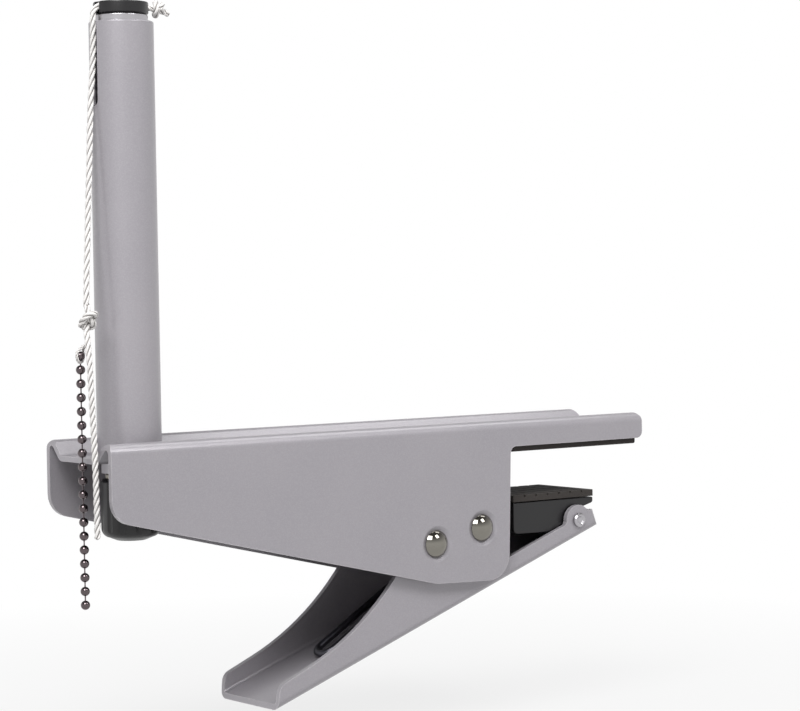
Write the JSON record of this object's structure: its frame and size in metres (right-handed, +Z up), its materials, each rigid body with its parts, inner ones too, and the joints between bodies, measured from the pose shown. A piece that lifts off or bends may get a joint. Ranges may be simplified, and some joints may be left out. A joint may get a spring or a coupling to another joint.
{
  "type": "table tennis net clamp",
  "caption": "Spring-clip net clamp for a table tennis table: folded steel bracket with net post, squeeze lever with swivelling jaw, height knob and tension cord with ball chain.",
  "frame": {"origin": "middle of the underside of the rubber pad under the arm, on the playing surface", "axes": "+X along the net from the post towards the middle of the table, +Y along the table's end-to-end direction, +Z up from the playing surface"},
  "size_m": [0.2284, 0.048, 0.2346],
  "materials": {
    "enamel": "silver enamel, fine satin",
    "zinc": "zinc plated",
    "nickel": "bright nickel plate",
    "black_plastic": "moulded, fine grain",
    "nylon": "natural",
    "rubber": "matt",
    "spring_steel": "dark, oiled",
    "gunmetal": "dark nickel plate",
    "cord": "twisted polyester"
  },
  "bodies": {
    "bracket": {"bracket": "enamel", "arm_pad": "rubber", "post_tube": "enamel", "post_foot": "zinc", "foot_nut": "zinc", "pivot_rivet": "nickel", "spring_rivet": "nickel", "pivot_sleeve": "zinc", "spring_sleeve": "zinc", "pivot_washer_near": "nylon", "pivot_washer_far": "nylon", "torsion_spring": "spring_steel"},
    "inner_post": {"inner_tube": "zinc", "post_cap": "black_plastic", "height_nut": "nylon", "lead_cord": "cord", "stop_knot": "cord", "cord_knot": "cord", "cord_tail": "cord"},
    "height_knob": {"height_knob": "black_plastic", "height_screw": "zinc", "screw_collar": "zinc", "thrust_washer": "nylon"},
    "lever": {"lever": "enamel", "jaw_pin": "zinc"},
    "jaw_shoe": {"jaw_shoe": "black_plastic", "jaw_pad": "rubber"},
    "chain": {"chain_noose": "cord", "ball_chain": "gunmetal"}
  },
  "joints": [
    {"name": "lever_pivot", "type": "hinge", "parent": "bracket", "child": "lever", "pos_m": [-0.0644, 0, -0.0298], "axis": [0, 1, 0], "range_deg": [-9, 18], "stiffness_Nm_per_rad": 3.5, "deforming": ["torsion_spring"]},
    {"name": "jaw_swivel", "type": "hinge", "parent": "lever", "child": "jaw_shoe", "pos_m": [0.00203, 0, -0.02637], "axis": [0, 1, 0], "range_deg": [-19, 12]},
    {"name": "knob_turn", "type": "hinge", "parent": "bracket", "child": "height_knob", "pos_m": [-0.1734, 0, -0.011], "axis": [0, 0, 1], "range_deg": [-720, 2880]},
    {"name": "post_height", "type": "slide", "parent": "bracket", "child": "inner_post", "axis": [0, 0, 1], "range_m": [-0.0021, 0.0081]},
    {"name": "chain_swing", "type": "hinge", "parent": "inner_post", "child": "chain", "pos_m": [-0.1958, -0.0088, 0.0392], "axis": [0, 1, 0], "range_deg": [-1.5, 55]}
  ],
  "couplings": [
    {"joint": "post_height", "follows": "knob_turn", "m_per_rad": 0.00015915}
  ]
}
